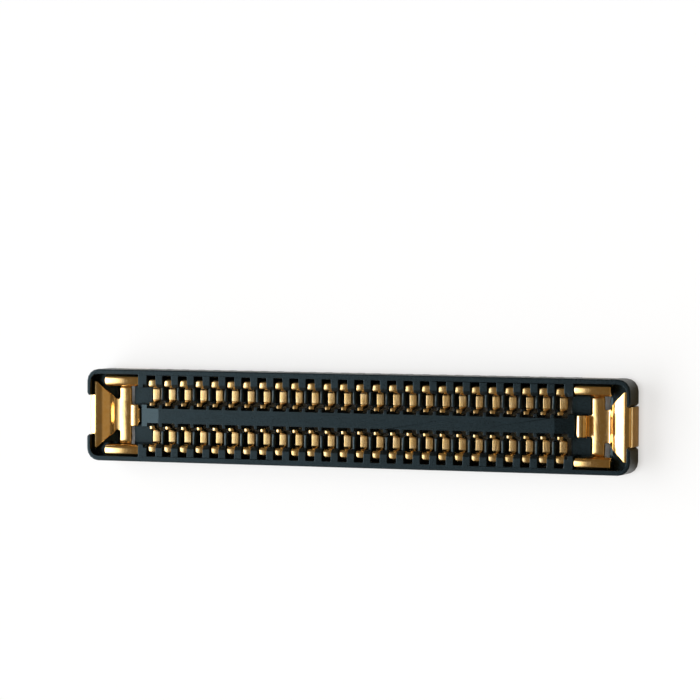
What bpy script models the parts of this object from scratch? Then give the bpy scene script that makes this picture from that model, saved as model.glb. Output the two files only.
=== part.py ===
# Board receptacle for a flexible circuit: two rows of formed contacts in a slotted housing, a metal nail at each end.
# X runs along the rows, Y across them, Z up from the solder plane. Sizes are millimetres until a mesh is made.
import math

import bmesh
import bpy
from mathutils import Vector

MM = 0.001  # one millimetre in metres

# Driving sizes of the connector
CONTACTS_PER_ROW = 26
PITCH = 0.35
END_LENGTH = 1.445  # from the last contact's middle to the end of the housing
HOUSING_WIDTH = 1.89
TOP_HEIGHT = 0.65  # rim above the solder plane
STANDOFF = 0.03  # housing above the solder plane
FLOOR_TOP = 0.25
CORNER_RADIUS = 0.25
RIM_CHAMFER = 0.02
WALL = 0.365  # side wall, from its outer face to the mating cavity
CLEARANCE = 0.005  # seating gap between metal and plastic

# Driving sizes of the island in the middle of the cavity
ISLAND_WIDTH = 0.46
ISLAND_CORE_WIDTH = 0.31  # what is left of it between two contacts' springs
ISLAND_TOP = 0.56
ISLAND_EDGE_DROP = 0.02  # of its top between the springs, from the core to its side
ISLAND_END_GAP = 1.01  # from the housing's end to the island's
ISLAND_RAMP = 0.56  # length of the slope at each end of its top
ISLAND_RAMP_DROP = 0.07

# Driving sizes of the ribs that stand on the floor between the contacts
RIB_WIDTH = 0.075
RIB_TOP = 0.45
RIB_START = 0.315  # from the middle of the housing

# Driving sizes of a contact
STRIP = 0.06  # sheet thickness
CONTACT_WIDTH = 0.18
CONTACT_TOP = 0.60
LEG_INNER = 0.605  # middle of the leg in the cavity
LEG_OUTER = 0.75  # middle of the leg in the wall, at its top
LEG_FOOT = 0.82  # and at the solder plane
TAIL_TIP = 0.94
CONTACT_FLOOR = 0.33
SPRING_ROOT = 0.30
SPRING_POINT = 0.262
SPRING_POINT_HEIGHT = 0.55
SPRING_TIP = 0.205
SPRING_TIP_HEIGHT = 0.58

# Driving sizes of an end nail
NAIL_SHEET = 0.08
NAIL_BEND = 0.046  # radius of a bend, to the middle of the sheet
NAIL_BAR_START = 0.15  # from the island's end to the bar across the floor
NAIL_BAR_WIDTH = 0.25
NAIL_BAND_RISE = 0.18  # of the band in the end wall above the bar
ARM_FOOT_PLACE = 0.474  # from the housing's end to the corner at the foot of the end arm
ARM_FOOT_BEND = 0.09
ARM_HEAD_PLACE = 0.316  # and to the corner at its head
ARM_HEAD_BEND = 0.35
END_ARM_FOOT_WIDTH = 0.66
END_ARM_TOP_WIDTH = 1.40
END_LEG_WIDTH = 0.80
END_WALL = 0.075  # what stands outside the band
SHELF_DROP = 0.03  # of the corner pockets below the band's seat
SIDE_ARM_WIDTH = 0.75
SIDE_ARM_START = 0.40  # from the housing's end to the near edge of a side arm
SIDE_ROOT_BEND = 0.15  # radius between the bar and a side arm
SIDE_LEG_INNER = 0.64
SIDE_LEG_OUTER = 0.80
SIDE_FOOT_TIP = 0.935
TAB_WIDTH = 0.44
TAB_REACH = 0.14  # how far the tab runs over the island
TAB_TIP_WIDTH = 0.30
TAB_TIP_HEIGHT = 0.42
FOOT_GAP = 0.05
FOOT_SHARES = (0.215, 0.47, 0.315)

# Sizes that follow from those
ROW_SPAN = (CONTACTS_PER_ROW - 1) * PITCH
END_X = ROW_SPAN / 2 + END_LENGTH
HALF_WIDTH = HOUSING_WIDTH / 2
CAVITY_HALF = HALF_WIDTH - WALL
SLOT_WIDTH = CONTACT_WIDTH + 2 * CLEARANCE
FLOOR_SLOT_WIDTH = PITCH - RIB_WIDTH
ISLAND_END = END_X - ISLAND_END_GAP
BEND_RADIUS = (LEG_OUTER - LEG_INNER) / 2
BEND_HEIGHT = CONTACT_TOP - STRIP / 2 - BEND_RADIUS
SEAT = NAIL_SHEET / 2 + CLEARANCE  # from the middle of the nail's sheet to the plastic behind it
NAIL_FLOOR = FLOOR_TOP + SEAT
NAIL_BAND = NAIL_FLOOR + NAIL_BAND_RISE
END_LEG = END_X - NAIL_SHEET / 2
BAR_NEAR = ISLAND_END + NAIL_BAR_START
BAR_FAR = BAR_NEAR + NAIL_BAR_WIDTH
ARM_FAR = END_X - SIDE_ARM_START
ARM_NEAR = ARM_FAR - SIDE_ARM_WIDTH
SIDE_RADIUS = (SIDE_LEG_OUTER - SIDE_LEG_INNER) / 2
SIDE_TOP = TOP_HEIGHT - NAIL_SHEET / 2
SIDE_BEND_HEIGHT = SIDE_TOP - SIDE_RADIUS
BELOW = -0.1
ABOVE = TOP_HEIGHT + 0.15


# Start from an empty scene
def clear_scene():
    for item in list(bpy.data.objects):
        bpy.data.objects.remove(item, do_unlink=True)


def material(name, colour, roughness, metallic):
    made = bpy.data.materials.new(name)
    made.use_nodes = True
    shader = made.node_tree.nodes["Principled BSDF"]
    shader.inputs["Base Color"].default_value = (*colour, 1.0)
    shader.inputs["Roughness"].default_value = roughness
    shader.inputs["Metallic"].default_value = metallic
    return made


def make_mesh(name, points, faces):
    mesh = bpy.data.meshes.new(name)
    mesh.from_pydata([Vector(p) * MM for p in points], [], faces)
    form = bmesh.new()
    form.from_mesh(mesh)
    bmesh.ops.recalc_face_normals(form, faces=form.faces)
    form.to_mesh(mesh)
    form.free()
    mesh.update()
    return mesh


def make_object(name, mesh, look=None):
    item = bpy.data.objects.new(name, mesh)
    bpy.context.scene.collection.objects.link(item)
    if look is not None:
        mesh.materials.append(look)
    return item


# Solids made from outlines
def loft(name, loops):
    """One closed solid through loops of as many points each."""
    count = len(loops[0])
    points = [p for loop in loops for p in loop]
    faces = [list(range(count)), list(range(len(points) - count, len(points)))]
    for level in range(len(loops) - 1):
        low = level * count
        for i in range(count):
            j = (i + 1) % count
            faces.append([low + i, low + j, low + count + j, low + count + i])
    return make_mesh(name, points, faces)


def prism_along_x(name, outline, start, end):
    """A solid with an outline of (y, z) points between two places on X."""
    return loft(name, [[(x, y, z) for y, z in outline] for x in (start, end)])


def prism_along_y(name, outline, half):
    """A solid with an outline of (x, z) points, as far to both sides of the middle."""
    return loft(name, [[(x, y, z) for x, z in outline] for y in (-half, half)])


def rounded_outline(half_x, half_y, radius, steps=4):
    points = []
    for corner, (sx, sy) in enumerate(((1, 1), (-1, 1), (-1, -1), (1, -1))):
        for step in range(steps + 1):
            angle = math.pi / 2 * (corner + step / steps)
            x = sx * (half_x - radius) + radius * math.cos(angle)
            y = sy * (half_y - radius) + radius * math.sin(angle)
            points.append((x, y))
    return points


# Tools that cut the housing
def tool(name, mesh):
    item = make_object(name, mesh)
    item.hide_render = True
    item.display_type = "WIRE"
    return item


def mirrored(item, along_x=True, along_y=True):
    mirror = item.modifiers.new("both_sides", "MIRROR")
    mirror.use_axis = (along_x, along_y, False)
    mirror.use_mirror_merge = False
    mirror.merge_threshold = 0.0
    return item


def repeated(item):
    array = item.modifiers.new("row", "ARRAY")
    array.count = CONTACTS_PER_ROW
    array.use_relative_offset = False
    array.use_constant_offset = True
    array.constant_offset_displace = (PITCH * MM, 0.0, 0.0)
    array.merge_threshold = 0.0
    return item


def boolean(item, name, operation, other):
    step = item.modifiers.new(name, "BOOLEAN")
    step.solver = "EXACT"
    step.operation = operation
    step.object = other


def cavity_tool():
    """The mating cavity: its ends follow the nail's end arm up to the seat of the band."""
    arm = end_arm_line()[1:-3]
    seat = [point - offset for point, offset in zip(arm, side_offsets(arm, SEAT))]
    rise = [(p.x, p.y) for p in seat if p.y > FLOOR_TOP + 0.002]
    half = [(seat[0].x, FLOOR_TOP), *rise, (END_X - END_WALL, NAIL_BAND - SEAT), (END_X - END_WALL, ABOVE)]
    outline = half + [(-x, z) for x, z in reversed(half)]
    return tool("cut_cavity", prism_along_y("cut_cavity", outline, CAVITY_HALF))


def lead_in_tool():
    deep = 0.075
    inner = CAVITY_HALF - 0.05
    outline = [
        (inner, TOP_HEIGHT - deep - 0.05),
        (inner, ABOVE),
        (CAVITY_HALF + deep + 0.15, ABOVE),
    ]
    reach = ROW_SPAN / 2 + PITCH / 2
    return mirrored(tool("cut_lead_in", prism_along_x("cut_lead_in", outline, -reach, reach)), along_x=False)


def corner_pocket_tool():
    """Pocket in each corner beside the end arm, as deep as its shelf."""
    low = NAIL_BAND - SEAT - SHELF_DROP
    side = SIDE_LEG_OUTER + SEAT
    far = END_X - END_WALL
    radius = CORNER_RADIUS - END_WALL
    plan = [(ARM_FAR - 0.01, CAVITY_HALF - 0.01), (far, CAVITY_HALF - 0.01)]
    for step in range(4):
        angle = math.pi / 6 * step
        plan.append((far - radius * (1 - math.cos(angle)), side - radius * (1 - math.sin(angle))))
    plan.append((ARM_FAR - 0.01, side))
    levels = [[(x, y, z) for x, y in plan] for z in (low, ABOVE)]
    return mirrored(tool("cut_corner_pocket", loft("cut_corner_pocket", levels)))


def leg_notch_tool():
    """Notch in the end wall for the end leg, with slanted sides."""
    near = END_LEG - SEAT
    half = END_LEG_WIDTH / 2 + CLEARANCE
    flare = END_X - near
    plan = [
        (near, -half),
        (near + 0.4 * flare, -half),
        (END_X + 0.1, -half - 0.1 - 0.6 * flare),
        (END_X + 0.1, half + 0.1 + 0.6 * flare),
        (near + 0.4 * flare, half),
        (near, half),
    ]
    levels = [[(x, y, z) for x, y in plan] for z in (BELOW, ABOVE)]
    return mirrored(tool("cut_leg_notch", loft("cut_leg_notch", levels)), along_y=False)


def window_tool():
    """Window in the floor under the nail's bar."""
    near = BAR_NEAR - NAIL_BEND
    far = end_arm_line()[1].x
    half = SIDE_LEG_INNER + SEAT
    outline = [(near, BELOW), (far, BELOW), (far, ABOVE), (near, ABOVE)]
    return mirrored(tool("cut_window", prism_along_y("cut_window", outline, half)), along_y=False)


def arm_recess_tool():
    """Hollow of a side arm: it leaves a web of plastic that the arm is hooked over."""
    inside = SIDE_LEG_INNER + SEAT
    outside = SIDE_LEG_OUTER - SEAT
    back = SIDE_LEG_OUTER + SEAT
    foot = NAIL_SHEET + 2 * CLEARANCE
    outline = [
        (CAVITY_HALF - 0.01, FLOOR_TOP + 0.01),
        (CAVITY_HALF - 0.01, ABOVE),
        (back, ABOVE),
        (back, foot + 0.02),
        (HALF_WIDTH + 0.1, foot + 0.02),
        (HALF_WIDTH + 0.1, BELOW),
        (outside, BELOW),
        (outside, SIDE_BEND_HEIGHT),
        (inside, SIDE_BEND_HEIGHT),
        (inside, FLOOR_TOP + 0.01),
    ]
    start = ARM_NEAR - CLEARANCE
    end = ARM_FAR + CLEARANCE
    return mirrored(tool("cut_arm_recess", prism_along_x("cut_arm_recess", outline, start, end)))


def tab_step_tool():
    """Step in the island's end that the tab lies in, and the hole for its tip."""
    low = ISLAND_TOP - NAIL_SHEET - CLEARANCE
    start = ISLAND_END - TAB_REACH - 0.02
    outline = [(start, low), (ISLAND_END + 0.05, low), (ISLAND_END + 0.05, ABOVE), (start, ABOVE)]
    return mirrored(tool("cut_tab_step", prism_along_y("cut_tab_step", outline, 0.5)), along_y=False)


def tab_hole_tool():
    start = ISLAND_END - TAB_REACH - CLEARANCE
    end = start + NAIL_SHEET + 2 * CLEARANCE
    outline = [(start, BELOW), (end, BELOW), (end, ABOVE), (start, ABOVE)]
    half = TAB_TIP_WIDTH / 2 + 4 * CLEARANCE
    return mirrored(tool("cut_tab_hole", prism_along_y("cut_tab_hole", outline, half)), along_y=False)


def rib_form():
    """The block that the slots divide into ribs."""
    low = (FLOOR_TOP + STANDOFF) / 2
    outline = [(RIB_START, low), (CAVITY_HALF + 0.02, low), (CAVITY_HALF + 0.02, RIB_TOP), (RIB_START, RIB_TOP)]
    reach = ROW_SPAN / 2
    return mirrored(tool("add_ribs", prism_along_x("add_ribs", outline, -reach, reach)), along_x=False)


def spring_slot_tool():
    """Slot in the floor and the island for a contact's flat and its spring."""
    outline = [
        (ISLAND_CORE_WIDTH / 2, BELOW),
        (ISLAND_CORE_WIDTH / 2, ABOVE),
        (ISLAND_WIDTH / 2 + 0.05, ABOVE),
        (ISLAND_WIDTH / 2 + 0.05, RIB_TOP + 0.05),
        (CAVITY_HALF, RIB_TOP + 0.05),
        (CAVITY_HALF, BELOW),
    ]
    middle = -ROW_SPAN / 2
    half = FLOOR_SLOT_WIDTH / 2
    made = tool("cut_spring_slot", prism_along_x("cut_spring_slot", outline, middle - half, middle + half))
    return mirrored(repeated(made), along_x=False)


def leg_place(z):
    """Middle of the leg in the wall, which leans out towards its foot."""
    top = CONTACT_TOP - STRIP / 2
    return LEG_OUTER + (LEG_FOOT - LEG_OUTER) * (top - z) / (top - STRIP / 2)


def wall_slot_tool():
    """Slot in the wall for a contact's hook: it leaves the web that the hook holds on to."""
    inside = LEG_INNER + STRIP / 2 + CLEARANCE
    lean = (LEG_FOOT - LEG_OUTER) / (CONTACT_TOP - STRIP)
    seat = (STRIP / 2 + CLEARANCE) * math.hypot(1, lean)
    tail = STRIP + 0.05
    outline = [
        (CAVITY_HALF - 0.01, BELOW),
        (CAVITY_HALF - 0.01, ABOVE),
        (LEG_OUTER + seat + 0.035, ABOVE),
        (leg_place(tail) + seat, tail),
        (HALF_WIDTH + 0.1, tail),
        (HALF_WIDTH + 0.1, BELOW),
        (leg_place(BELOW) - seat, BELOW),
        (leg_place(BEND_HEIGHT) - seat, BEND_HEIGHT),
        (inside, BEND_HEIGHT),
        (inside, BELOW),
    ]
    middle = -ROW_SPAN / 2
    half = SLOT_WIDTH / 2
    made = tool("cut_wall_slot", prism_along_x("cut_wall_slot", outline, middle - half, middle + half))
    return mirrored(repeated(made), along_x=False)


def island_form():
    """The island, whose top slopes down a little at each end."""
    half = ISLAND_WIDTH / 2
    low = (FLOOR_TOP + STANDOFF) / 2
    end = [(ISLAND_END, low), (ISLAND_END, ISLAND_TOP - ISLAND_RAMP_DROP), (ISLAND_END - ISLAND_RAMP, ISLAND_TOP)]
    outline = end + [(-x, z) for x, z in reversed(end)]
    return tool("add_island", prism_along_y("add_island", outline, half))


def island_edge_tool():
    """Slope on the island's side edges between the springs."""
    start = ISLAND_CORE_WIDTH / 2 + 0.01
    side = ISLAND_WIDTH / 2
    outline = [
        (start, ISLAND_TOP),
        (start, ABOVE),
        (side + 0.01, ABOVE),
        (side + 0.01, ISLAND_TOP - ISLAND_EDGE_DROP),
    ]
    reach = ROW_SPAN / 2
    return mirrored(tool("cut_island_edge", prism_along_x("cut_island_edge", outline, -reach, reach)), along_x=False)


# The housing
def build_housing(look):
    levels = []
    for inset, z in ((0.0, STANDOFF), (0.0, TOP_HEIGHT - RIM_CHAMFER), (RIM_CHAMFER, TOP_HEIGHT)):
        ring = rounded_outline(END_X - inset, HALF_WIDTH - inset, CORNER_RADIUS - inset)
        levels.append([(x, y, z) for x, y in ring])
    housing = make_object("housing", loft("housing", levels), look)
    boolean(housing, "cavity", "DIFFERENCE", cavity_tool())
    boolean(housing, "lead_in", "DIFFERENCE", lead_in_tool())
    boolean(housing, "island", "UNION", island_form())
    boolean(housing, "island_edge", "DIFFERENCE", island_edge_tool())
    boolean(housing, "ribs", "UNION", rib_form())
    boolean(housing, "corner_pocket", "DIFFERENCE", corner_pocket_tool())
    boolean(housing, "leg_notch", "DIFFERENCE", leg_notch_tool())
    boolean(housing, "window", "DIFFERENCE", window_tool())
    boolean(housing, "arm_recess", "DIFFERENCE", arm_recess_tool())
    boolean(housing, "tab_step", "DIFFERENCE", tab_step_tool())
    boolean(housing, "tab_hole", "DIFFERENCE", tab_hole_tool())
    boolean(housing, "spring_slot", "DIFFERENCE", spring_slot_tool())
    boolean(housing, "wall_slot", "DIFFERENCE", wall_slot_tool())
    return housing


# Bent sheet
def bent_line(corners):
    """Points along a line whose corners are rounded: each corner is (a, b, radius, steps)."""
    line = []
    for index, (a, b, radius, steps) in enumerate(corners):
        here = Vector((a, b))
        if radius == 0.0:
            line.append(here)
            continue
        before = Vector(corners[index - 1][:2]) - here
        after = Vector(corners[index + 1][:2]) - here
        turn = before.angle(after)
        reach = radius / math.tan(turn / 2)
        centre = here + (before.normalized() + after.normalized()).normalized() * (radius / math.sin(turn / 2))
        first = here + before.normalized() * reach - centre
        last = here + after.normalized() * reach - centre
        sweep = math.atan2(first.x * last.y - first.y * last.x, first.dot(last))
        for step in range(steps + 1):
            angle = sweep * step / steps
            line.append(
                centre
                + Vector(
                    (
                        first.x * math.cos(angle) - first.y * math.sin(angle),
                        first.x * math.sin(angle) + first.y * math.cos(angle),
                    )
                )
            )
    return line


def side_offsets(line, half):
    """For each point of a line, the offset to one side that keeps the sheet's thickness."""
    offsets = []
    for index in range(len(line)):
        parts = []
        if index > 0:
            parts.append((line[index] - line[index - 1]).normalized())
        if index < len(line) - 1:
            parts.append((line[index + 1] - line[index]).normalized())
        normals = [Vector((-p.y, p.x)) for p in parts]
        if len(normals) == 1:
            offsets.append(normals[0] * half)
        else:
            total = normals[0] + normals[1]
            offsets.append(total * (half * 2 / total.dot(total)))
    return offsets


# A contact: tail, leg in the wall, hook over the web, flat on the floor, spring with its contact point
def contact_corners():
    return [
        (TAIL_TIP, STRIP / 2, 0.0, 0),
        (LEG_FOOT, STRIP / 2, STRIP * 0.9, 1),
        (LEG_OUTER, CONTACT_TOP - STRIP / 2, BEND_RADIUS, 2),
        (LEG_INNER, CONTACT_TOP - STRIP / 2, BEND_RADIUS, 2),
        (LEG_INNER, CONTACT_FLOOR, 0.0, 0),
        (SPRING_ROOT, CONTACT_FLOOR, 0.0, 0),
        (SPRING_POINT, SPRING_POINT_HEIGHT, STRIP * 0.6, 1),
        (SPRING_TIP, SPRING_TIP_HEIGHT, 0.0, 0),
    ]


def contact_width(y, z):
    """Width of the strip: widest in the wall, narrow at the spring."""
    if z < 2 * STRIP:
        return CONTACT_WIDTH * 0.83
    if z < CONTACT_FLOOR + STRIP:
        return CONTACT_WIDTH * 0.87
    if y > LEG_INNER - 0.01:
        return CONTACT_WIDTH
    return CONTACT_WIDTH * 0.64


def contact_mesh(look):
    line = bent_line(contact_corners())
    tidy = [line[0]]
    for point in line[1:]:
        if (point - tidy[-1]).length > 1e-4:
            tidy.append(point)
    offsets = side_offsets(tidy, STRIP / 2)
    loops = []
    for point, offset in zip(tidy, offsets):
        half = contact_width(point.x, point.y) / 2
        one = point + offset
        other = point - offset
        loops.append(
            [
                (-half, one.x, one.y),
                (half, one.x, one.y),
                (half, other.x, other.y),
                (-half, other.x, other.y),
            ]
        )
    mesh = loft("contact", loops)
    mesh.materials.append(look)
    return mesh


def build_contacts(look):
    mesh = contact_mesh(look)
    made = []
    for row, turn in (("front", math.pi), ("rear", 0.0)):
        for number in range(CONTACTS_PER_ROW):
            item = make_object(f"contact_{row}_{number + 1:02d}", mesh)
            item.location = ((number * PITCH - ROW_SPAN / 2) * MM, 0.0, 0.0)
            item.rotation_euler = (0.0, 0.0, turn)
            made.append(item)
    return made


# An end nail: a cross cut from sheet, with its four arms bent up
class Sheet:
    """A surface in the middle of the sheet, grown arm by arm and thickened at the end."""

    def __init__(self):
        self.points = []
        self.faces = []

    def add(self, *points):
        first = len(self.points)
        self.points.extend(points)
        return list(range(first, first + len(points)))

    def strip(self, edge, rows):
        """Grows a strip from an edge (a list of indices) through rows of two points."""
        for row in rows:
            new = self.add(*row)
            self.faces.append([*edge, *reversed(new)])
            edge = new
        return edge


def end_arm_line():
    """Foot, slope and long head bend of the end arm, then the band, its last bend and the leg."""
    return bent_line(
        [
            (BAR_FAR, NAIL_FLOOR, 0.0, 0),
            (END_X - ARM_FOOT_PLACE, NAIL_FLOOR, ARM_FOOT_BEND, 2),
            (END_X - ARM_HEAD_PLACE, NAIL_BAND, ARM_HEAD_BEND, 4),
            (END_LEG, NAIL_BAND, NAIL_BEND, 2),
            (END_LEG, 0.0, 0.0, 0),
        ]
    )


def grow_end_arm(sheet, edge):
    line = end_arm_line()
    start, full = line[1].x, line[-5].x
    rows = []
    for x, z in line[1:-4]:
        share = (x - start) / (full - start)
        half = (END_ARM_FOOT_WIDTH + (END_ARM_TOP_WIDTH - END_ARM_FOOT_WIDTH) * share) / 2
        rows.append([(x, -half, z), (x, half, z)])
    edge = sheet.strip(edge, rows)
    x, z = line[-4]
    top, leg = END_ARM_TOP_WIDTH / 2, END_LEG_WIDTH / 2
    shoulder = sheet.add((x, -top, z), (x, -leg, z), (x, leg, z), (x, top, z))
    sheet.faces.append([*edge, *reversed(shoulder)])
    sheet.strip(shoulder[1:3], [[(x, -leg, z), (x, leg, z)] for x, z in line[-3:]])


def grow_tab(sheet, edge):
    """The tab that rises before the island, lies over it and dips its tip into the hole."""
    front = ISLAND_END + SEAT
    low = ISLAND_TOP - NAIL_SHEET / 2
    tip = ISLAND_END - TAB_REACH + NAIL_SHEET / 2
    line = bent_line(
        [
            (BAR_NEAR, NAIL_FLOOR, 0.0, 0),
            (front, NAIL_FLOOR, NAIL_BEND, 2),
            (front, low, NAIL_BEND, 2),
            (tip, low, NAIL_BEND, 2),
            (tip, TAB_TIP_HEIGHT, 0.0, 0),
        ]
    )
    rows = []
    for x, z in line[1:]:
        width = TAB_TIP_WIDTH if x < tip + NAIL_BEND / 2 else TAB_WIDTH
        rows.append([(x, width / 2, z), (x, -width / 2, z)])
    sheet.strip(edge, rows)


def grow_side_arm(sheet, edge, side):
    """One side arm, hooked over the wall and down to a foot with three toes."""
    half = NAIL_SHEET / 2
    line = bent_line(
        [
            (0.0, NAIL_FLOOR, 0.0, 0),
            (SIDE_LEG_INNER, NAIL_FLOOR, SIDE_ROOT_BEND, 2),
            (SIDE_LEG_INNER, SIDE_TOP, SIDE_RADIUS, 2),
            (SIDE_LEG_OUTER, SIDE_TOP, SIDE_RADIUS, 2),
            (SIDE_LEG_OUTER, half, NAIL_BEND, 1),
            (SIDE_FOOT_TIP, half, 0.0, 0),
        ]
    )
    line = [p for i, p in enumerate(line) if i == 0 or (p - line[i - 1]).length > 1e-4]
    bottom = next(i for i, p in enumerate(line) if i > 6 and p.y < 0.2)
    rows = []
    for y, z in line[2:bottom]:
        share = min(max((z - NAIL_FLOOR - 0.05) / (SIDE_TOP - NAIL_FLOOR - 0.2), 0.0), 1.0)
        if y > SIDE_LEG_INNER + 0.01:
            share = 1.0
        near = BAR_NEAR + (ARM_NEAR - BAR_NEAR) * share
        far = BAR_FAR + (ARM_FAR - BAR_FAR) * share
        pair = [(near, side * y, z), (far, side * y, z)]
        rows.append(pair)
    edge = sheet.strip(edge, rows)
    cuts = toe_places()
    y, z = line[bottom]
    lower = sheet.add(*[(x, side * y, z) for x in cuts])
    sheet.faces.append([*edge, *reversed(lower)])
    for toe in range(3):
        start = lower[2 * toe : 2 * toe + 2]
        span = cuts[2 * toe : 2 * toe + 2]
        sheet.strip(start, [[(x, side * y, z) for x in span] for y, z in line[bottom + 1 :]])


def toe_places():
    """Ends of the three toes along X, in order."""
    room = SIDE_ARM_WIDTH - 2 * FOOT_GAP
    places = []
    x = ARM_NEAR
    for share in FOOT_SHARES:
        places.append(x)
        x += room * share
        places.append(x)
        x += FOOT_GAP
    return places


def nail_mesh(look):
    sheet = Sheet()
    end = SIDE_LEG_INNER - SIDE_ROOT_BEND
    arm, root = END_ARM_FOOT_WIDTH / 2, TAB_WIDTH / 2
    inner = sheet.add(*[(BAR_NEAR, y, NAIL_FLOOR) for y in (-end, -root, root, end)])
    outer = sheet.add(*[(BAR_FAR, y, NAIL_FLOOR) for y in (end, arm, -arm, -end)])
    sheet.faces.append([*inner, *outer])
    grow_end_arm(sheet, [outer[2], outer[1]])
    grow_tab(sheet, [inner[2], inner[1]])
    grow_side_arm(sheet, [inner[3], outer[0]], 1)
    grow_side_arm(sheet, [inner[0], outer[3]], -1)
    mesh = make_mesh("end_nail", sheet.points, sheet.faces)
    mesh.materials.append(look)
    return mesh


def build_nails(look):
    mesh = nail_mesh(look)
    for name, turn in (("end_nail_right", 0.0), ("end_nail_left", math.pi)):
        item = make_object(name, mesh)
        item.rotation_euler = (0.0, 0.0, turn)
        thick = item.modifiers.new("thickness", "SOLIDIFY")
        thick.thickness = NAIL_SHEET * MM
        thick.offset = 0.0
        thick.use_even_offset = True
        thick.use_quality_normals = True


def main():
    clear_scene()
    plastic = material("housing_plastic", (0.035, 0.042, 0.048), 0.45, 0.0)
    gold = material("contact_gold", (0.83, 0.61, 0.29), 0.25, 1.0)
    nail_gold = material("nail_gold", (0.85, 0.68, 0.42), 0.25, 1.0)
    build_housing(plastic)
    build_contacts(gold)
    build_nails(nail_gold)


main()
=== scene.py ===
import math

import bmesh
import bpy
from mathutils import Matrix, Vector


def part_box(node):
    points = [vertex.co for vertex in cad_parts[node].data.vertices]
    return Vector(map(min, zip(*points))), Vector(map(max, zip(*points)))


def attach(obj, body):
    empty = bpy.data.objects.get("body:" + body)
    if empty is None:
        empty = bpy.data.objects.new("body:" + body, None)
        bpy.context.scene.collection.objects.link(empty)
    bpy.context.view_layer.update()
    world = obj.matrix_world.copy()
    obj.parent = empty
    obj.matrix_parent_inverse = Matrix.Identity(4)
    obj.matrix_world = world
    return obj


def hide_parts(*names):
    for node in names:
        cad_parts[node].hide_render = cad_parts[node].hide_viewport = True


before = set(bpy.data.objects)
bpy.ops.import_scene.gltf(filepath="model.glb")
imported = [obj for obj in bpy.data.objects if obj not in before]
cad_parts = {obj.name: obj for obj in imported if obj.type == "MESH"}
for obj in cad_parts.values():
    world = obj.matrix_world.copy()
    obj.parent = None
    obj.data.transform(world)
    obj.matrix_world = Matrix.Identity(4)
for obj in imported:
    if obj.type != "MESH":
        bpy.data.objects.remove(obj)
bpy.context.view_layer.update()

bl_info = {
    "name": "Board Receptacle",
    "version": (1, 0, 0),
    "blender": (4, 5, 0),
    "location": "3D View > Sidebar > Receptacle",
    "description": "Dresses a flexible-circuit receptacle: slotted housing, formed contacts, end nails",
    "category": "Object",
}

MM = 0.001

# Sizes of the solid model that the pieces repeat, in millimetres
END_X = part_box("housing")[1].x / MM
HALF_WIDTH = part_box("housing")[1].y / MM
TOP_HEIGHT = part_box("housing")[1].z / MM
CLEARANCE = 0.005
FLOOR_TOP = 0.25
ISLAND_END = END_X - 1.01
ISLAND_TOP = 0.56
ROW_END = 4.5
RIB_TOP = 0.45
STRIP = 0.06
CONTACT_TOP = 0.60
CONTACT_FLOOR = 0.33
LEG_INNER = 0.605
LEG_OUTER = 0.75
LEG_FOOT = 0.82
HOOK_RADIUS = 0.0725
TAIL_TIP = 0.94
SPRING_ROOT = 0.30
SPRING_POINT = (0.262, 0.55)
SPRING_TIP = (0.205, 0.58)
BEND_RADIUS = 0.085
# Painted shade on the contacts: the share of their colour left, and where across and how high it runs out; it
# darkens the bend between leg and flat, the lower legs and the tails
BEND_SHADE = 0.2
BEND_PLACE = (LEG_INNER - 0.085, LEG_INNER - 0.055)
BEND_RISE = (CONTACT_TOP - 0.14, CONTACT_TOP - 0.06)
EDGE_ROLL = 0.014
NAIL_SHEET = 0.08
SEAT = NAIL_SHEET / 2 + CLEARANCE
NAIL_FLOOR = FLOOR_TOP + SEAT
NAIL_BEND = 0.046
NAIL_BAND = NAIL_FLOOR + 0.18
BAR_NEAR = ISLAND_END + 0.15
BAR_FAR = BAR_NEAR + 0.25
ARM_FOOT = END_X - 0.474
ARM_FOOT_BEND = 0.09
ARM_HEAD = END_X - 0.316
ARM_HEAD_BEND = 0.35
END_LEG = END_X - NAIL_SHEET / 2
END_ARM_FOOT_WIDTH = 0.66
END_ARM_TOP_WIDTH = 1.40
END_LEG_WIDTH = 0.80
ARM_FAR = END_X - 0.40
ARM_NEAR = ARM_FAR - 0.75
SIDE_ROOT_BEND = 0.15
SIDE_LEG_INNER = 0.64
SIDE_LEG_OUTER = 0.80
SIDE_FOOT_TIP = 0.935
SIDE_TOP = TOP_HEIGHT - NAIL_SHEET / 2
TAB_WIDTH = 0.44
TAB_REACH = 0.14
TAB_TIP_WIDTH = 0.30
TAB_TIP_HEIGHT = 0.42
FOOT_GAP = 0.05
FOOT_SHARES = (0.215, 0.47, 0.315)
TOES_BELOW = 0.2
SPREAD_DELAY = 0.05
SPREAD_MARGIN = 0.2

# How the strip is shaped: its longest stretch, how its ends shrink, and the roll of its back
STRIP_STRETCH = 0.06
STRIP_END = 0.86
BACK_ROLL = 0.008
BACK_SHARE = 0.93

# How meshes are joined and smoothed: a distance in millimetres, angles in degrees, and how alike two normals are
MERGE_BELOW = 0.0002
SMOOTH_BELOW = 40
MOULDED_LIMIT = 28
PUNCHED_LIMIT = 50
ROUNDED_SLOT = 1
ROUNDED_REACH = 0.6
FLAT_REACH = 0.88

# Thin plating lets the nickel under it show
NICKEL = (0.80, 0.74, 0.62)
NICKEL_SHARE = 0.25

# Edges of the key light, each a direction, half the width of its edge and the edge's place; the fill's edges in
# degrees; tints of the light
KEY_EDGES = (((-1.0, 0.0, 0.0), 0.18, 0.505), ((0.0, -1.0, 0.0), 0.22, -0.50), ((0.0, 1.0, 0.0), 0.20, -0.78))
KEY_TINT = (0.96, 1.0, 1.04)
SOFT_TINT = (1.25, 0.95, 0.55)
WHITE = (1.0, 1.0, 1.0)
FILL_LOW = 22
FILL_HIGH = 68
FILL_EDGE = 0.08

# The floor, in millimetres: its half side, where and how wide it turns lighter beside the part; how much lighter
FLOOR_HALF = 400.0
FLOOR_INSET = 0.3
FLOOR_FADE = 0.45
FLOOR_SHARE = 0.72

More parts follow.
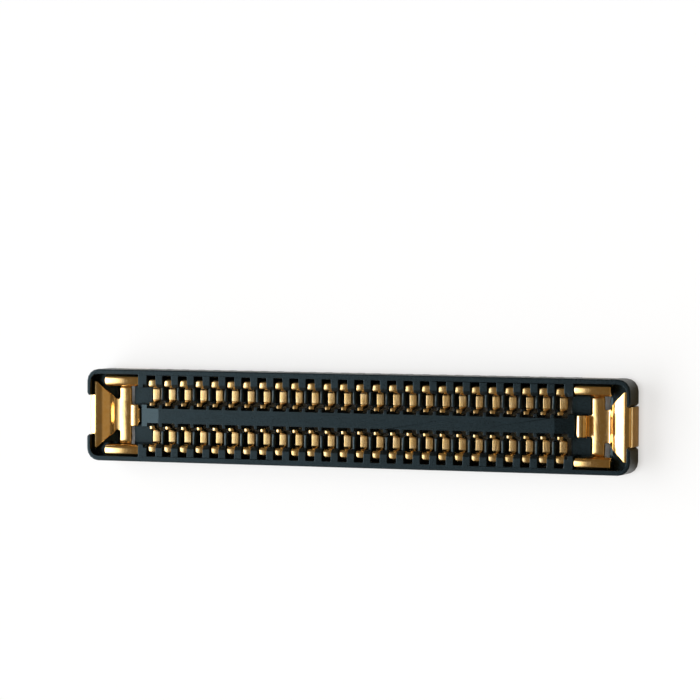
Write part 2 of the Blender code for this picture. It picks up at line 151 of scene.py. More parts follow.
# Place of the camera, worked out from the photograph: lean and pitch in radians, distance in millimetres
CAMERA_LEAN = 0.3555
CAMERA_PITCH = -0.0350
CAMERA_ROLL = 0.0047
CAMERA_DISTANCE = 71.21
CAMERA_TARGET = (-0.151, 1.416, 0.30)
FOCAL_PIXELS = 3526.0
PHOTO_WIDTH = 700
SENSOR_WIDTH = 36.0


# What a user would change
class HousingSettings(bpy.types.PropertyGroup):
    edge_radius: bpy.props.FloatProperty(
        name="Edge radius", description="Rounding of the moulded edges",
        default=0.012 * MM, min=0.0, precision=6, unit="LENGTH")
    rib_radius: bpy.props.FloatProperty(
        name="Rib radius", description="Rounding of the ribs between the contacts' flats",
        default=0.028 * MM, min=0.0, precision=6, unit="LENGTH")
    colour: bpy.props.FloatVectorProperty(
        name="Colour", description="Colour of the moulded plastic",
        default=(0.0018, 0.0040, 0.0060), size=3, min=0.0, max=1.0, subtype="COLOR")
    roughness: bpy.props.FloatProperty(
        name="Roughness", description="How matt the moulded faces are",
        default=0.30, min=0.0, max=1.0, subtype="FACTOR")


class ContactSettings(bpy.types.PropertyGroup):
    count: bpy.props.IntProperty(
        name="Contacts in a row", description="Number of contacts in each row", default=26, min=1)
    pitch: bpy.props.FloatProperty(
        name="Pitch", description="From one contact to the next",
        default=0.35 * MM, min=0.0, precision=6, unit="LENGTH")
    width: bpy.props.FloatProperty(
        name="Width", description="Width of the strip in the wall",
        default=0.18 * MM, min=0.0, precision=6, unit="LENGTH")
    crown: bpy.props.FloatProperty(
        name="Crown", description="How much higher the middle of the flat is than its edge",
        default=0.0016 * MM, min=0.0, precision=6, unit="LENGTH")
    colour: bpy.props.FloatVectorProperty(
        name="Colour", description="Colour of the contact's plating",
        default=(0.88, 0.58, 0.23), size=3, min=0.0, max=1.0, subtype="COLOR")


class NailSettings(bpy.types.PropertyGroup):
    edge_radius: bpy.props.FloatProperty(
        name="Edge radius", description="Rounding of the punched edges",
        default=0.022 * MM, min=0.0, precision=6, unit="LENGTH")
    bend_steps: bpy.props.IntProperty(
        name="Bend steps", description="Faces round each bend", default=6, min=2)
    colour: bpy.props.FloatVectorProperty(
        name="Colour", description="Colour of the nail's plating",
        default=(0.88, 0.56, 0.20), size=3, min=0.0, max=1.0, subtype="COLOR")


class StageSettings(bpy.types.PropertyGroup):
    floor_colour: bpy.props.FloatVectorProperty(
        name="Floor colour", description="Colour of the floor",
        default=(0.90, 0.90, 0.90), size=3, min=0.0, max=1.0, subtype="COLOR")
    key_strength: bpy.props.FloatProperty(
        name="Key strength", description="Strength of the soft light on the left", default=6.0, min=0.0)
    fill_strength: bpy.props.FloatProperty(
        name="Fill strength", description="Strength of the weaker light on the right", default=0.2, min=0.0)
    ambient: bpy.props.FloatProperty(
        name="Ambient", description="Strength of the light from all round", default=0.12, min=0.0)


# Help with meshes
def sheet_object(name, points, faces):
    """An object from points in millimetres."""
    mesh = bpy.data.meshes.new(name)
    mesh.from_pydata([Vector(p) * MM for p in points], [], faces)
    mesh.update()
    item = bpy.data.objects.new(name, mesh)
    bpy.context.scene.collection.objects.link(item)
    return item


def outwards(mesh):
    """Turns every face of a closed mesh, or of a sheet, the same way round."""
    form = bmesh.new()
    form.from_mesh(mesh)
    bmesh.ops.recalc_face_normals(form, faces=form.faces)
    form.to_mesh(mesh)
    form.free()


def applied(item, smooth_angle=None):
    """The object with its modifiers made real and, where an angle is given, smooth but for sharper edges."""
    bpy.context.view_layer.update()
    graph = bpy.context.evaluated_depsgraph_get()
    mesh = bpy.data.meshes.new_from_object(item.evaluated_get(graph), preserve_all_data_layers=True, depsgraph=graph)
    old = item.data
    item.modifiers.clear()
    item.data = mesh
    mesh.name = item.name
    if old.users == 0:
        bpy.data.meshes.remove(old)
    if smooth_angle is not None:
        mesh.shade_smooth()
        mesh.set_sharp_from_angle(angle=math.radians(smooth_angle))
    return item


def finished(item, material, nodes):
    """Gives a piece its material and its place in the frame."""
    if not item.data.polygons:
        raise RuntimeError(f"{item.name} came out empty")
    item.data.materials.clear()
    item.data.materials.append(material)
    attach(item, "root")
    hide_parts(*nodes)
    return item


def bevel(item, width, limit):
    """Rounds the edges that turn by more than the limit, in degrees."""
    step = item.modifiers.new("edges", "BEVEL")
    step.width = width
    step.segments = 3
    step.limit_method = "ANGLE"
    step.angle_limit = math.radians(limit)
    step.use_clamp_overlap = False
    step.miter_outer = "MITER_ARC"
    return step


def even_normals(mesh, rounded):
    """Flat faces keep their own normals; those with the rounded slot run from one flat to the next."""
    flats = [[] for _ in mesh.vertices]
    bends = [[] for _ in mesh.vertices]
    for face in mesh.polygons:
        for corner in face.vertices:
            (bends if face.material_index == rounded else flats)[corner].append(face.normal * face.area)
    normals = []
    for face in mesh.polygons:
        nearest = ROUNDED_REACH if face.material_index == rounded else FLAT_REACH
        for corner in face.vertices:
            parts = [n for n in flats[corner] if n.dot(face.normal) > nearest * n.length] or bends[corner]
            normals.append(sum(parts, Vector()).normalized())
        face.material_index = 0
    mesh.normals_split_custom_set(normals)


# Help with materials
class Tree:
    """Adds nodes to a material and links them."""

    def __init__(self, name):
        self.material = bpy.data.materials.new(name)
        self.material.use_nodes = True
        self.nodes = self.material.node_tree.nodes
        self.links = self.material.node_tree.links
        self.shader = self.nodes["Principled BSDF"]

    def add(self, kind, **values):
        node = self.nodes.new(kind)
        for name, value in values.items():
            if hasattr(node, name):
                setattr(node, name, value)
            else:
                node.inputs[name.replace("_", " ")].default_value = value
        return node

    def join(self, out, into):
        self.links.new(out, into)

    def noise(self, scale, detail=3.0, stretch=(1.0, 1.0, 1.0)):
        """Noise whose grain is scale to the millimetre, drawn out by stretch."""
        place = self.add("ShaderNodeTexCoord")
        turn = self.add("ShaderNodeMapping")
        turn.inputs["Scale"].default_value = [s / MM for s in stretch]
        self.join(place.outputs["Object"], turn.inputs["Vector"])
        grain = self.add("ShaderNodeTexNoise")
        grain.inputs["Scale"].default_value = scale
        grain.inputs["Detail"].default_value = detail
        self.join(turn.outputs["Vector"], grain.inputs["Vector"])
        return grain.outputs["Fac"]

    def ramp(self, source, low, high, start=0.35, end=0.65):
        ramp = self.add("ShaderNodeValToRGB")
        ramp.color_ramp.elements[0].position = start
        ramp.color_ramp.elements[0].color = (*low, 1.0)
        ramp.color_ramp.elements[1].position = end
        ramp.color_ramp.elements[1].color = (*high, 1.0)
        self.join(source, ramp.inputs["Fac"])
        return ramp.outputs["Color"]

    def spread(self, source, low, high):
        change = self.add("ShaderNodeMapRange")
        change.inputs["From Min"].default_value = 0.3
        change.inputs["From Max"].default_value = 0.7
        change.inputs["To Min"].default_value = low
        change.inputs["To Max"].default_value = high
        self.join(source, change.inputs["Value"])
        return change.outputs["Result"]

    def between(self, source, low, high, start, end):
        """Runs smoothly from one value to another as the source runs from start to end, in millimetres."""
        change = self.add("ShaderNodeMapRange", interpolation_type="SMOOTHSTEP")
        for name, value in (("From Min", start * MM), ("From Max", end * MM), ("To Min", low), ("To Max", high)):
            change.inputs[name].default_value = value
        self.join(source, change.inputs["Value"])
        return change.outputs["Result"]

    def bend_shade_share(self):
        """Share of the colour left by painted shade: 1 on most of a contact, little in the bend between its leg and
        its flat and on the lower legs and tails, which lie as far out and as low.
        """
        place = self.add("ShaderNodeTexCoord")
        parts = self.add("ShaderNodeSeparateXYZ")
        self.join(place.outputs["Object"], parts.inputs["Vector"])
        across = self.add("ShaderNodeMath", operation="ABSOLUTE")
        self.join(parts.outputs["Y"], across.inputs[0])
        share = self.add("ShaderNodeMath", operation="MAXIMUM")
        self.join(self.between(across.outputs[0], 1.0, BEND_SHADE, *BEND_PLACE), share.inputs[0])
        self.join(self.between(parts.outputs["Z"], BEND_SHADE, 1.0, *BEND_RISE), share.inputs[1])
        return share.outputs[0]

    def bump(self, source, height, strength=1.0):
        made = self.add("ShaderNodeBump")
        made.inputs["Strength"].default_value = strength
        made.inputs["Distance"].default_value = height
        self.join(source, made.inputs["Height"])
        return made.outputs["Normal"]


def shade(colour, factor):
    return tuple(min(max(c * factor, 0.0), 1.0) for c in colour)


def plastic_material(settings):
    """Filled moulding plastic: near black, faintly mottled, with a fine grain."""
    tree = Tree("housing_plastic_look")
    colour = tuple(settings.colour)
    mottle = tree.noise(7.0, 4.0, (0.5, 1.0, 1.0))
    grain = tree.noise(55.0, 3.0)
    tree.join(tree.ramp(mottle, shade(colour, 0.7), shade(colour, 1.45)), tree.shader.inputs["Base Color"])
    tree.join(tree.spread(grain, settings.roughness - 0.08, settings.roughness + 0.12),
              tree.shader.inputs["Roughness"])
    tree.join(tree.bump(grain, 0.0004 * MM, 0.5), tree.shader.inputs["Normal"])
    tree.shader.inputs["Specular IOR Level"].default_value = 0.34
    tree.shader.inputs["Specular Tint"].default_value = (0.62, 0.90, 1.0, 1.0)
    return tree.material


def gold_material(name, colour, rough_low, rough_high, along, painted_bend_shade=False):
    """Thin gold over nickel: rolling marks along the strip and uneven plating; where asked, painted shade darkens
    the contacts' bends, lower legs and tails.
    """
    tree = Tree(name)
    colour = tuple(colour)
    marks = tree.noise(60.0, 2.0, along)
    clouds = tree.noise(9.0, 3.0)
    pale = tuple((1.0 - NICKEL_SHARE) * c + NICKEL_SHARE * v for c, v in zip(colour, NICKEL))
    plating = tree.ramp(clouds, shade(colour, 0.92), pale, 0.3, 0.75)
    if painted_bend_shade:
        # painted shade: the plating colour scaled down in the bend between leg and flat, on the lower legs and on
        # the tails
        dark = tree.add("ShaderNodeVectorMath", operation="SCALE")
        tree.join(plating, dark.inputs[0])
        tree.join(tree.bend_shade_share(), dark.inputs["Scale"])
        plating = dark.outputs[0]
    tree.join(plating, tree.shader.inputs["Base Color"])
    tree.shader.inputs["Metallic"].default_value = 1.0
    tree.join(tree.spread(marks, rough_low, rough_high), tree.shader.inputs["Roughness"])
    tree.join(tree.bump(marks, 0.00012 * MM, 0.6), tree.shader.inputs["Normal"])
    return tree.material


# Bent strip and sheet
def bent_line(corners):
    """Points along a line whose corners are rounded: each corner is (a, b, radius, steps)."""
    line = []
    for index, (a, b, radius, steps) in enumerate(corners):
        here = Vector((a, b))
        if radius == 0.0:
            line.append(here)
            continue
        before = Vector(corners[index - 1][:2]) - here
        after = Vector(corners[index + 1][:2]) - here
        turn = before.angle(after)
        reach = radius / math.tan(turn / 2)
        centre = here + (before.normalized() + after.normalized()).normalized() * (radius / math.sin(turn / 2))
        first = here + before.normalized() * reach - centre
        last = here + after.normalized() * reach - centre
        sweep = math.atan2(first.x * last.y - first.y * last.x, first.dot(last))
        for step in range(steps + 1):
            angle = sweep * step / steps
            c, s = math.cos(angle), math.sin(angle)
            line.append(centre + Vector((first.x * c - first.y * s, first.x * s + first.y * c)))
    return [p for i, p in enumerate(line) if i == 0 or (p - line[i - 1]).length > 1e-4]


def side_normals(line):
    """For each point of a line, the vector across it, longer in a corner so that a sheet keeps its thickness."""
    found = []
    for index in range(len(line)):
        parts = []
        if index > 0:
            parts.append((line[index] - line[index - 1]).normalized())
        if index < len(line) - 1:
            parts.append((line[index + 1] - line[index]).normalized())
        normals = [Vector((-p.y, p.x)) for p in parts]
        total = sum(normals, Vector((0.0, 0.0)))
        found.append(total * (len(normals) / total.dot(total)))
    return found


# Contacts
def contact_line():
    top = CONTACT_TOP - STRIP / 2
    return bent_line([
        (TAIL_TIP, STRIP / 2, 0.0, 0),
        (LEG_FOOT, STRIP / 2, 0.054, 4),
        (LEG_OUTER, top, HOOK_RADIUS, 8),
        (LEG_INNER, top, HOOK_RADIUS, 8),
        (LEG_INNER, CONTACT_FLOOR, BEND_RADIUS, 7),
        (SPRING_ROOT, CONTACT_FLOOR, 0.04, 5),
        (*SPRING_POINT, 0.034, 6),
        (*SPRING_TIP, 0.0, 0),
    ])


def with_middles(line, longest):
    """The same line with a point wherever a stretch is longer than that."""
    full = [line[0]]
    for point in line[1:]:
        step = point - full[-1]
        parts = max(1, math.ceil(step.length / longest))
        start = full[-1].copy()
        full.extend(start + step * (k / parts) for k in range(1, parts + 1))
    return full


def share_at(distance, places):
    """The share at a distance, along straight lines between places of (distance, share)."""
    for (a, low), (b, high) in zip(places, places[1:]):
        if distance <= b:
            return low + (high - low) * (distance - a) / (b - a)
    return places[-1][1]


def strip_share(distance, total):
    """Share of the full width at a distance along the strip: full in the wall, narrower to the spring."""
    return share_at(distance, ((0.0, 0.83), (0.10, 0.83), (0.18, 1.0), (0.84, 1.0), (0.94, 0.87), (1.22, 0.87),
                               (1.36, 0.66), (total, 0.60)))


def crown_share(distance):
    """How crowned the strip is at a distance along it: most over the hook and the point, least on the flat."""
    return share_at(distance, ((0.0, 1.0), (0.12, 1.0), (0.22, 4.0), (0.84, 4.0), (0.94, 1.0), (1.20, 1.0),
                               (1.32, 4.0), (9.0, 4.0)))


def strip_section(half_width, half_sheet, crown, roll):
    """Outline across the strip: a crowned face with rolled edges, and a flatter back."""
    face = [(1.0, roll), (0.96, roll * 0.42), (0.90, roll * 0.08), (0.85, 0.0), (0.78, 0.0), (0.4, 0.0), (0.0, 0.0)]
    side = [(s * half_width, half_sheet - down - crown * s * s) for s, down in face]
    front = [(-x, z) for x, z in side] + [(x, z) for x, z in reversed(side[:-1])]
    back = [(half_width, -half_sheet + BACK_ROLL), (half_width * BACK_SHARE, -half_sheet), (0.0, -half_sheet),
            (-half_width * BACK_SHARE, -half_sheet), (-half_width, -half_sheet + BACK_ROLL)]
    return front + back


def contact_form(settings):
    """One contact of the rear row, in the middle of the row."""
    line = with_middles(contact_line(), STRIP_STRETCH)
    normals = side_normals(line)
    lengths = [0.0]
    for a, b in zip(line, line[1:]):
        lengths.append(lengths[-1] + (b - a).length)
    points, faces = [], []
    for index, (point, normal) in enumerate(zip(line, normals)):
        half = settings.width / MM / 2 * strip_share(lengths[index], lengths[-1])
        shrink = STRIP_END if index in (0, len(line) - 1) else 1.0
        crown = settings.crown / MM * crown_share(lengths[index])
        outline = strip_section(half, STRIP / 2, crown, EDGE_ROLL)
        points.extend((x * shrink, point.x - normal.x * z * shrink, point.y - normal.y * z * shrink)
                      for x, z in outline)
    count = len(outline)
    for level in range(len(line) - 1):
        low = level * count
        for i in range(count):
            j = (i + 1) % count
            faces.append((low + i, low + j, low + count + j, low + count + i))
    faces.append(tuple(range(count)))
    faces.append(tuple(range(len(points) - count, len(points))))
    return points, faces


def row_tree():
    """Geometry nodes that repeat a contact along X and turn the whole row."""
    tree = bpy.data.node_groups.new("contact_row", "GeometryNodeTree")
    face = tree.interface
    for name, kind in (("Contact", "NodeSocketGeometry"), ("Count", "NodeSocketInt"), ("Pitch", "NodeSocketFloat"),
                       ("Turn", "NodeSocketFloat"), ("Material", "NodeSocketMaterial")):
        face.new_socket(name=name, in_out="INPUT", socket_type=kind)
    face.new_socket(name="Row", in_out="OUTPUT", socket_type="NodeSocketGeometry")
    node = tree.nodes.new
    join = tree.links.new
    given = node("NodeGroupInput")
    gaps = node("ShaderNodeMath")
    gaps.operation = "SUBTRACT"
    gaps.inputs[1].default_value = 1.0
    span = node("ShaderNodeMath")
    span.operation = "MULTIPLY"
    start = node("ShaderNodeMath")
    start.operation = "MULTIPLY"
    start.inputs[1].default_value = -0.5
    first = node("ShaderNodeCombineXYZ")
    step = node("ShaderNodeCombineXYZ")
    turn = node("ShaderNodeCombineXYZ")
    line = node("GeometryNodeMeshLine")
    line.mode = "OFFSET"
    place = node("GeometryNodeInstanceOnPoints")
    real = node("GeometryNodeRealizeInstances")
    paint = node("GeometryNodeSetMaterial")
    out = node("NodeGroupOutput")
    join(given.outputs["Count"], gaps.inputs[0])
    join(gaps.outputs[0], span.inputs[0])
    join(given.outputs["Pitch"], span.inputs[1])
    join(span.outputs[0], start.inputs[0])
    join(start.outputs[0], first.inputs["X"])
    join(given.outputs["Pitch"], step.inputs["X"])
    join(given.outputs["Turn"], turn.inputs["Z"])
    join(given.outputs["Count"], line.inputs["Count"])
    join(first.outputs[0], line.inputs["Start Location"])
    join(step.outputs[0], line.inputs["Offset"])
    join(line.outputs["Mesh"], place.inputs["Points"])
    join(given.outputs["Contact"], place.inputs["Instance"])
    join(turn.outputs[0], place.inputs["Rotation"])
    join(place.outputs["Instances"], real.inputs["Geometry"])
    join(real.outputs["Geometry"], paint.inputs["Geometry"])
    join(given.outputs["Material"], paint.inputs["Material"])
    join(paint.outputs["Geometry"], out.inputs["Row"])
    return tree


def contact_row(name, turn, settings, material, tree):
    item = sheet_object(name, *contact_form(settings))
    outwards(item.data)
    row = item.modifiers.new("row", "NODES")
    row.node_group = tree
    values = {"Count": settings.count, "Pitch": settings.pitch, "Turn": turn, "Material": material}
    for socket in tree.interface.items_tree:
        if socket.in_out == "INPUT" and socket.name in values:
            row[socket.identifier] = values[socket.name]
    return applied(item, SMOOTH_BELOW)


# Nails
class Sheet:
    """The middle of a sheet, grown arm by arm and thickened at the end."""

    def __init__(self):
        self.points = []
        self.faces = []

    def add(self, *points):
        first = len(self.points)
        self.points.extend(points)
        return list(range(first, first + len(points)))

    def strip(self, edge, rows):
        """Grows a strip from an edge (a list of indices) through rows of points."""
        for row in rows:
            new = self.add(*row)
            self.faces.append([*edge, *reversed(new)])
            edge = new
        return edge


def grow_end_arm(sheet, edge, steps):
    """The slope with its long head bend, the band in the end wall, and the leg."""
    line = bent_line([
        (BAR_FAR, NAIL_FLOOR, 0.0, 0), (ARM_FOOT, NAIL_FLOOR, ARM_FOOT_BEND, steps),
        (ARM_HEAD, NAIL_BAND, ARM_HEAD_BEND, 2 * steps), (END_LEG, NAIL_BAND, NAIL_BEND, steps),
        (END_LEG, 0.0, 0.0, 0)])
    start, full = line[1].x, line[-steps - 3].x
    rows = []
    for x, z in line[1:-steps - 2]:
        share = (x - start) / (full - start)
        half = (END_ARM_FOOT_WIDTH + (END_ARM_TOP_WIDTH - END_ARM_FOOT_WIDTH) * share) / 2
        rows.append([(x, -half, z), (x, half, z)])
    edge = sheet.strip(edge, rows)
    x, z = line[-steps - 2]
    top, leg = END_ARM_TOP_WIDTH / 2, END_LEG_WIDTH / 2
    shoulder = sheet.add((x, -top, z), (x, -leg, z), (x, leg, z), (x, top, z))
    sheet.faces.append([*edge, *reversed(shoulder)])
    sheet.strip(shoulder[1:3], [[(x, -leg, z), (x, leg, z)] for x, z in line[-steps - 1:]])


def grow_tab(sheet, edge, steps):
    """The tab that rises before the island, lies over it and dips its tip into the hole."""
    front = ISLAND_END + SEAT
    low = ISLAND_TOP - NAIL_SHEET / 2
    tip = ISLAND_END - TAB_REACH + NAIL_SHEET / 2
    line = bent_line([
        (BAR_NEAR, NAIL_FLOOR, 0.0, 0), (front, NAIL_FLOOR, NAIL_BEND, steps),
        (front, low, NAIL_BEND, steps + 2), (tip, low, NAIL_BEND, steps + 2), (tip, TAB_TIP_HEIGHT, 0.0, 0)])
    rows = []
    for x, z in line[1:]:
        width = TAB_TIP_WIDTH if x < tip + NAIL_BEND / 3 else TAB_WIDTH
        rows.append([(x, width / 2, z), (x, -width / 2, z)])
    sheet.strip(edge, rows)


def toe_places():
    """Ends of the three toes along X, in order."""
    room = ARM_FAR - ARM_NEAR - 2 * FOOT_GAP
    places = []
    x = ARM_NEAR
    for share in FOOT_SHARES:
        places.extend((x, x + room * share))
        x += room * share + FOOT_GAP
    return places


def grow_side_arm(sheet, edge, side, steps):
    """One side arm, hooked over the wall and down to a foot with three toes."""
    half = NAIL_SHEET / 2
    radius = (SIDE_LEG_OUTER - SIDE_LEG_INNER) / 2
    line = bent_line([
        (0.0, NAIL_FLOOR, 0.0, 0), (SIDE_LEG_INNER, NAIL_FLOOR, SIDE_ROOT_BEND, steps),
        (SIDE_LEG_INNER, SIDE_TOP, radius, steps), (SIDE_LEG_OUTER, SIDE_TOP, radius, steps),
        (SIDE_LEG_OUTER, half, NAIL_BEND, steps), (SIDE_FOOT_TIP, half, 0.0, 0)])
    bottom = next(i for i, p in enumerate(line) if p.x > SIDE_LEG_INNER + radius and p.y < TOES_BELOW)
    rows = []
    for y, z in line[2:bottom]:
        share = (z - NAIL_FLOOR - SPREAD_DELAY) / (SIDE_TOP - NAIL_FLOOR - SPREAD_MARGIN)
        share = min(max(share, 0.0), 1.0)
        if y > SIDE_LEG_INNER + 0.01:
            share = 1.0
        a = BAR_NEAR + (ARM_NEAR - BAR_NEAR) * share
        b = BAR_FAR + (ARM_FAR - BAR_FAR) * share
        rows.append([(a, side * y, z), (b, side * y, z)])
    edge = sheet.strip(edge, rows)
    cuts = toe_places()
    y, z = line[bottom]
    lower = sheet.add(*[(x, side * y, z) for x in cuts])
    sheet.faces.append([*edge, *reversed(lower)])
    for toe in range(3):
        span = cuts[2 * toe:2 * toe + 2]
        sheet.strip(lower[2 * toe:2 * toe + 2], [[(x, side * y, z) for x in span] for y, z in line[bottom + 1:]])


def nail_form(steps, turn):
    """The middle surface of one nail, turned to its end of the housing."""
    sheet = Sheet()
    end = SIDE_LEG_INNER - SIDE_ROOT_BEND
    arm, root = END_ARM_FOOT_WIDTH / 2, TAB_WIDTH / 2
    inner = sheet.add(*[(BAR_NEAR, y, NAIL_FLOOR) for y in (-end, -root, root, end)])
    outer = sheet.add(*[(BAR_FAR, y, NAIL_FLOOR) for y in (end, arm, -arm, -end)])
    sheet.faces.append([*inner, *outer])
    grow_end_arm(sheet, [outer[2], outer[1]], steps)
    grow_tab(sheet, [inner[2], inner[1]], steps)
    grow_side_arm(sheet, [inner[3], outer[0]], 1, steps)
    grow_side_arm(sheet, [inner[0], outer[3]], -1, steps)
    c, s = round(math.cos(turn)), round(math.sin(turn))
    return [(c * x - s * y, s * x + c * y, z) for x, y, z in sheet.points], sheet.faces


def nail(name, turn, settings):
    item = sheet_object(name, *nail_form(settings.bend_steps, turn))
    outwards(item.data)
    thick = item.modifiers.new("thickness", "SOLIDIFY")
    thick.thickness = NAIL_SHEET * MM
    thick.offset = 0.0
    thick.use_even_offset = True
    thick.use_quality_normals = True
    bevel(item, settings.edge_radius, PUNCHED_LIMIT)
    return applied(item, SMOOTH_BELOW)


# Housing
def round_ribs(form, radius):
    """Rounds the long upper edges of the ribs beside the contacts' flats, and marks the new faces."""
    edges = []
    for edge in form.edges:
        a, b = (v.co / MM for v in edge.verts)
        along = abs(a.x - b.x) < 0.005 and abs(a.y - b.y) > 0.05 and abs(a.x) < ROW_END
        at_top = abs(a.z - RIB_TOP) < 0.005 and abs(b.z - RIB_TOP) < 0.005
        if along and at_top and edge.is_convex and edge.calc_face_angle() > 0.5:
            edges.append(edge)
    if not edges:
        raise RuntimeError("the housing has no ribs")
    made = bmesh.ops.bevel(form, geom=edges, offset=radius, offset_type="OFFSET", segments=4, profile=0.5,
                           affect="EDGES", clamp_overlap=False)
    for face in made["faces"]:
        face.material_index = ROUNDED_SLOT


# Building the pieces
class MakeHousing(bpy.types.Operator):
    """Round the moulded edges of the slotted housing and give it its plastic"""

    bl_idname = "receptacle.make_housing"
    bl_label = "Housing"

    def execute(self, context):
        settings = context.scene.receptacle_housing
        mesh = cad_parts["housing"].data.copy()
        form = bmesh.new()
        form.from_mesh(mesh)
        bmesh.ops.remove_doubles(form, verts=form.verts, dist=MERGE_BELOW * MM)
        round_ribs(form, settings.rib_radius)
        form.to_mesh(mesh)
        form.free()
        mesh.shade_smooth()
        while len(mesh.materials) <= ROUNDED_SLOT:
            mesh.materials.append(None)
        item = bpy.data.objects.new("moulded_housing", mesh)
        context.scene.collection.objects.link(item)
        bevel(item, settings.edge_radius, MOULDED_LIMIT).material = ROUNDED_SLOT
        even_normals(applied(item).data, ROUNDED_SLOT)
        finished(item, plastic_material(settings), ["housing"])
        return {"FINISHED"}


class MakeContacts(bpy.types.Operator):
    """Form one contact and repeat it along both rows"""

    bl_idname = "receptacle.make_contacts"
    bl_label = "Contacts"

    def execute(self, context):
        settings = context.scene.receptacle_contacts
        # the contacts' colour carries painted shade in the bend between leg and flat, on the lower legs and on the
        # tails
        material = gold_material("contact_gold_look", settings.colour, 0.12, 0.24, (1.0, 0.08, 0.08), painted_bend_shade=True)
        tree = row_tree()
        for row, turn in (("front", math.pi), ("rear", 0.0)):
            item = contact_row(f"contacts_{row}", turn, settings, material, tree)
            nodes = [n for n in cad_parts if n.startswith(f"contact_{row}_")]
            finished(item, material, nodes)
        return {"FINISHED"}


class MakeNails(bpy.types.Operator):
    """Bend the two end nails from sheet"""

    bl_idname = "receptacle.make_nails"
    bl_label = "End nails"

    def execute(self, context):
        settings = context.scene.receptacle_nails
        material = gold_material("nail_gold_look", settings.colour, 0.10, 0.20, (1.0, 0.06, 1.0))
        for side, turn in (("right", 0.0), ("left", math.pi)):
            item = nail(f"bent_nail_{side}", turn, settings)
            finished(item, material, [f"end_nail_{side}"])
        return {"FINISHED"}


class MakeStage(bpy.types.Operator):
    """Set the floor, the soft light and the camera"""

    bl_idname = "receptacle.make_stage"
    bl_label = "Stage"

    def execute(self, context):
        settings = context.scene.receptacle_stage
        make_floor(settings)
        make_light(settings)
        make_camera()
        return {"FINISHED"}


# Stage
def make_floor(settings):
    """A pale floor that keeps the shadow, and is seen a little lighter away from the part."""
    half = FLOOR_HALF
    item = sheet_object("floor", [(-half, -half, 0), (half, -half, 0), (half, half, 0), (-half, half, 0)],
                        [(0, 1, 2, 3)])
    tree = Tree("floor_paper")
    light = tree.noise(0.02, 2.0)
    tree.join(tree.ramp(light, shade(settings.floor_colour, 0.985), tuple(settings.floor_colour)),
              tree.shader.inputs["Base Color"])
    tree.shader.inputs["Roughness"].default_value = 0.9
    tree.shader.inputs["Specular IOR Level"].default_value = 0.0
    path = tree.add("ShaderNodeLightPath")
    share = tree.add("ShaderNodeMath", operation="MULTIPLY")
    tree.join(path.outputs["Is Camera Ray"], share.inputs[0])
    place = tree.add("ShaderNodeTexCoord")
    apart = tree.add("ShaderNodeVectorMath", operation="ABSOLUTE")
    tree.join(place.outputs["Object"], apart.inputs[0])
    beyond = tree.add("ShaderNodeVectorMath", operation="SUBTRACT")
    beyond.inputs[1].default_value = ((END_X - FLOOR_INSET) * MM, (HALF_WIDTH - FLOOR_INSET) * MM, 0.0)
    tree.join(apart.outputs[0], beyond.inputs[0])
    outside = tree.add("ShaderNodeVectorMath", operation="MAXIMUM")
    tree.join(beyond.outputs[0], outside.inputs[0])
    far = tree.add("ShaderNodeVectorMath", operation="LENGTH")
    tree.join(outside.outputs[0], far.inputs[0])
    fade = tree.add("ShaderNodeMapRange", interpolation_type="SMOOTHSTEP")
    fade.inputs["From Max"].default_value = FLOOR_FADE * MM
    fade.inputs["To Max"].default_value = FLOOR_SHARE
    tree.join(far.outputs["Value"], fade.inputs["Value"])
    tree.join(fade.outputs["Result"], share.inputs[1])
    white = tree.add("ShaderNodeEmission")
    white.inputs["Strength"].default_value = 1.0
    mix = tree.add("ShaderNodeMixShader")
    tree.join(share.outputs[0], mix.inputs["Fac"])
    tree.join(tree.shader.outputs[0], mix.inputs[1])
    tree.join(white.outputs[0], mix.inputs[2])
    tree.join(mix.outputs[0], tree.nodes["Material Output"].inputs["Surface"])
    item.data.materials.append(tree.material)


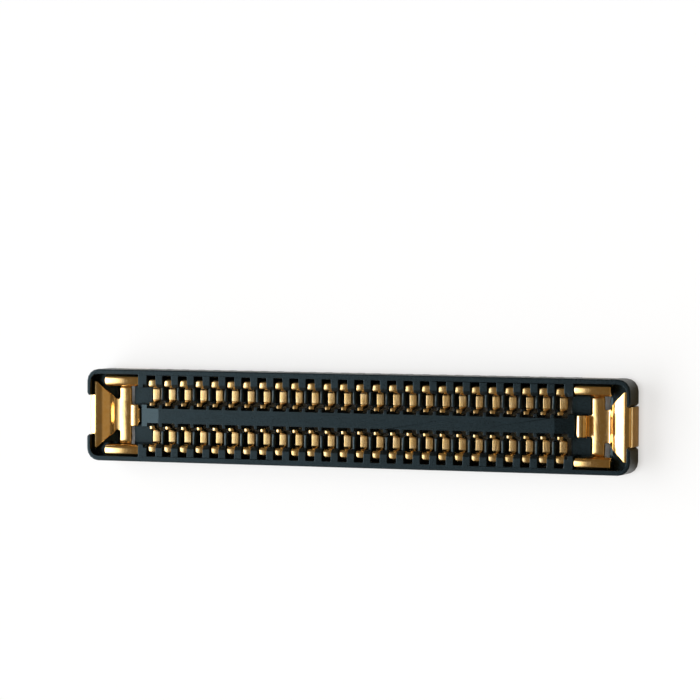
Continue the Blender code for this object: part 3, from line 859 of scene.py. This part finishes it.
def make_light(settings):
    """A studio of soft light: a large key on the left and a weaker fill on the right, before a white backdrop."""
    world = bpy.data.worlds.new("studio")
    bpy.context.scene.world = world
    world.use_nodes = True
    nodes, links = world.node_tree.nodes, world.node_tree.links
    place = nodes.new("ShaderNodeTexCoord")

    def beside(direction, width, offset=0.0):
        """From 0 to 1 as the direction looked in passes a plane through the middle."""
        dot = nodes.new("ShaderNodeVectorMath")
        dot.operation = "DOT_PRODUCT"
        dot.inputs[1].default_value = direction
        links.new(place.outputs["Generated"], dot.inputs[0])
        edge = nodes.new("ShaderNodeMapRange")
        edge.interpolation_type = "SMOOTHSTEP"
        edge.inputs["From Min"].default_value = offset - width
        edge.inputs["From Max"].default_value = offset + width
        links.new(dot.outputs["Value"], edge.inputs["Value"])
        return edge.outputs["Result"]

    def combined(operation, one, other):
        step = nodes.new("ShaderNodeMath")
        step.operation = operation
        for socket, value in zip(step.inputs, (one, other)):
            if isinstance(value, float):
                socket.default_value = value
            else:
                links.new(value, socket)
        return step.outputs[0]

    def cut(angle):
        a = math.radians(angle)
        return math.cos(a), math.sin(a)

    def tinted(colour, amount):
        """A colour, given or from a socket, times an amount from a socket."""
        tint = nodes.new("ShaderNodeVectorMath")
        tint.operation = "SCALE"
        if isinstance(colour, tuple):
            tint.inputs[0].default_value = colour
        else:
            links.new(colour, tint.inputs[0])
        links.new(amount, tint.inputs["Scale"])
        return tint.outputs[0]

    def together(one, other):
        both = nodes.new("ShaderNodeVectorMath")
        both.operation = "ADD"
        links.new(one, both.inputs[0])
        links.new(other, both.inputs[1])
        return both.outputs[0]

    left, front, rear = (beside(*edge) for edge in KEY_EDGES)
    key = combined("MULTIPLY", combined("MULTIPLY", left, front), rear)
    c, s = cut(FILL_LOW)
    fill = beside((c, 0.0, -s), FILL_EDGE)
    c, s = cut(FILL_HIGH)
    fill = combined("MULTIPLY", fill, beside((-c, 0.0, s), FILL_EDGE))
    soft = combined("MULTIPLY", fill, float(settings.fill_strength))
    soft = combined("ADD", soft, float(settings.ambient))
    light = together(tinted(KEY_TINT, combined("MULTIPLY", key, float(settings.key_strength))),
                     tinted(SOFT_TINT, soft))
    seen = nodes.new("ShaderNodeLightPath").outputs["Is Camera Ray"]
    light = together(tinted(light, combined("SUBTRACT", 1.0, seen)), tinted(WHITE, seen))
    links.new(light, nodes["Background"].inputs["Color"])


def make_camera():
    """The camera at the place that the photograph was taken from."""
    back = Vector((math.sin(CAMERA_LEAN) * math.cos(CAMERA_PITCH), -math.sin(CAMERA_PITCH),
                   math.cos(CAMERA_LEAN) * math.cos(CAMERA_PITCH)))
    right = Vector((0.0, 1.0, 0.0)).cross(back).normalized()
    up = back.cross(right)
    c, s = math.cos(CAMERA_ROLL), math.sin(CAMERA_ROLL)
    right, up = c * right + s * up, c * up - s * right
    turn = Matrix((right, up, back)).transposed().to_4x4()
    spot = (Vector(CAMERA_TARGET) + back * CAMERA_DISTANCE) * MM
    data = bpy.data.cameras.new("camera")
    data.sensor_width = SENSOR_WIDTH
    data.lens = FOCAL_PIXELS / PHOTO_WIDTH * SENSOR_WIDTH
    data.clip_start = 0.001
    data.clip_end = 10.0
    item = bpy.data.objects.new("camera", data)
    item.matrix_world = Matrix.Translation(spot) @ turn
    bpy.context.scene.collection.objects.link(item)
    bpy.context.scene.camera = item


class ReceptaclePanel(bpy.types.Panel):
    """The pieces of the receptacle and their sizes"""

    bl_idname = "VIEW3D_PT_receptacle"
    bl_label = "Receptacle"
    bl_space_type = "VIEW_3D"
    bl_region_type = "UI"
    bl_category = "Receptacle"

    def draw(self, context):
        for settings, operator in PIECES:
            box = self.layout.box()
            group = getattr(context.scene, settings)
            for name in group.__annotations__:
                box.prop(group, name)
            box.operator(operator)


PIECES = (
    ("receptacle_housing", "receptacle.make_housing"),
    ("receptacle_contacts", "receptacle.make_contacts"),
    ("receptacle_nails", "receptacle.make_nails"),
    ("receptacle_stage", "receptacle.make_stage"),
)
CLASSES = (HousingSettings, ContactSettings, NailSettings, StageSettings, MakeHousing, MakeContacts, MakeNails,
           MakeStage, ReceptaclePanel)


def register():
    for item in CLASSES:
        bpy.utils.register_class(item)
    scene = bpy.types.Scene
    scene.receptacle_housing = bpy.props.PointerProperty(type=HousingSettings)
    scene.receptacle_contacts = bpy.props.PointerProperty(type=ContactSettings)
    scene.receptacle_nails = bpy.props.PointerProperty(type=NailSettings)
    scene.receptacle_stage = bpy.props.PointerProperty(type=StageSettings)


def unregister():
    scene = bpy.types.Scene
    for name in ("receptacle_housing", "receptacle_contacts", "receptacle_nails", "receptacle_stage"):
        delattr(scene, name)
    for item in reversed(CLASSES):
        bpy.utils.unregister_class(item)


def main():
    register()
    bpy.ops.receptacle.make_housing()
    bpy.ops.receptacle.make_contacts()
    bpy.ops.receptacle.make_nails()
    bpy.ops.receptacle.make_stage()
    bpy.context.scene.view_settings.view_transform = "Standard"
    bpy.context.view_layer.update()


if __name__ == "__main__":
    main()
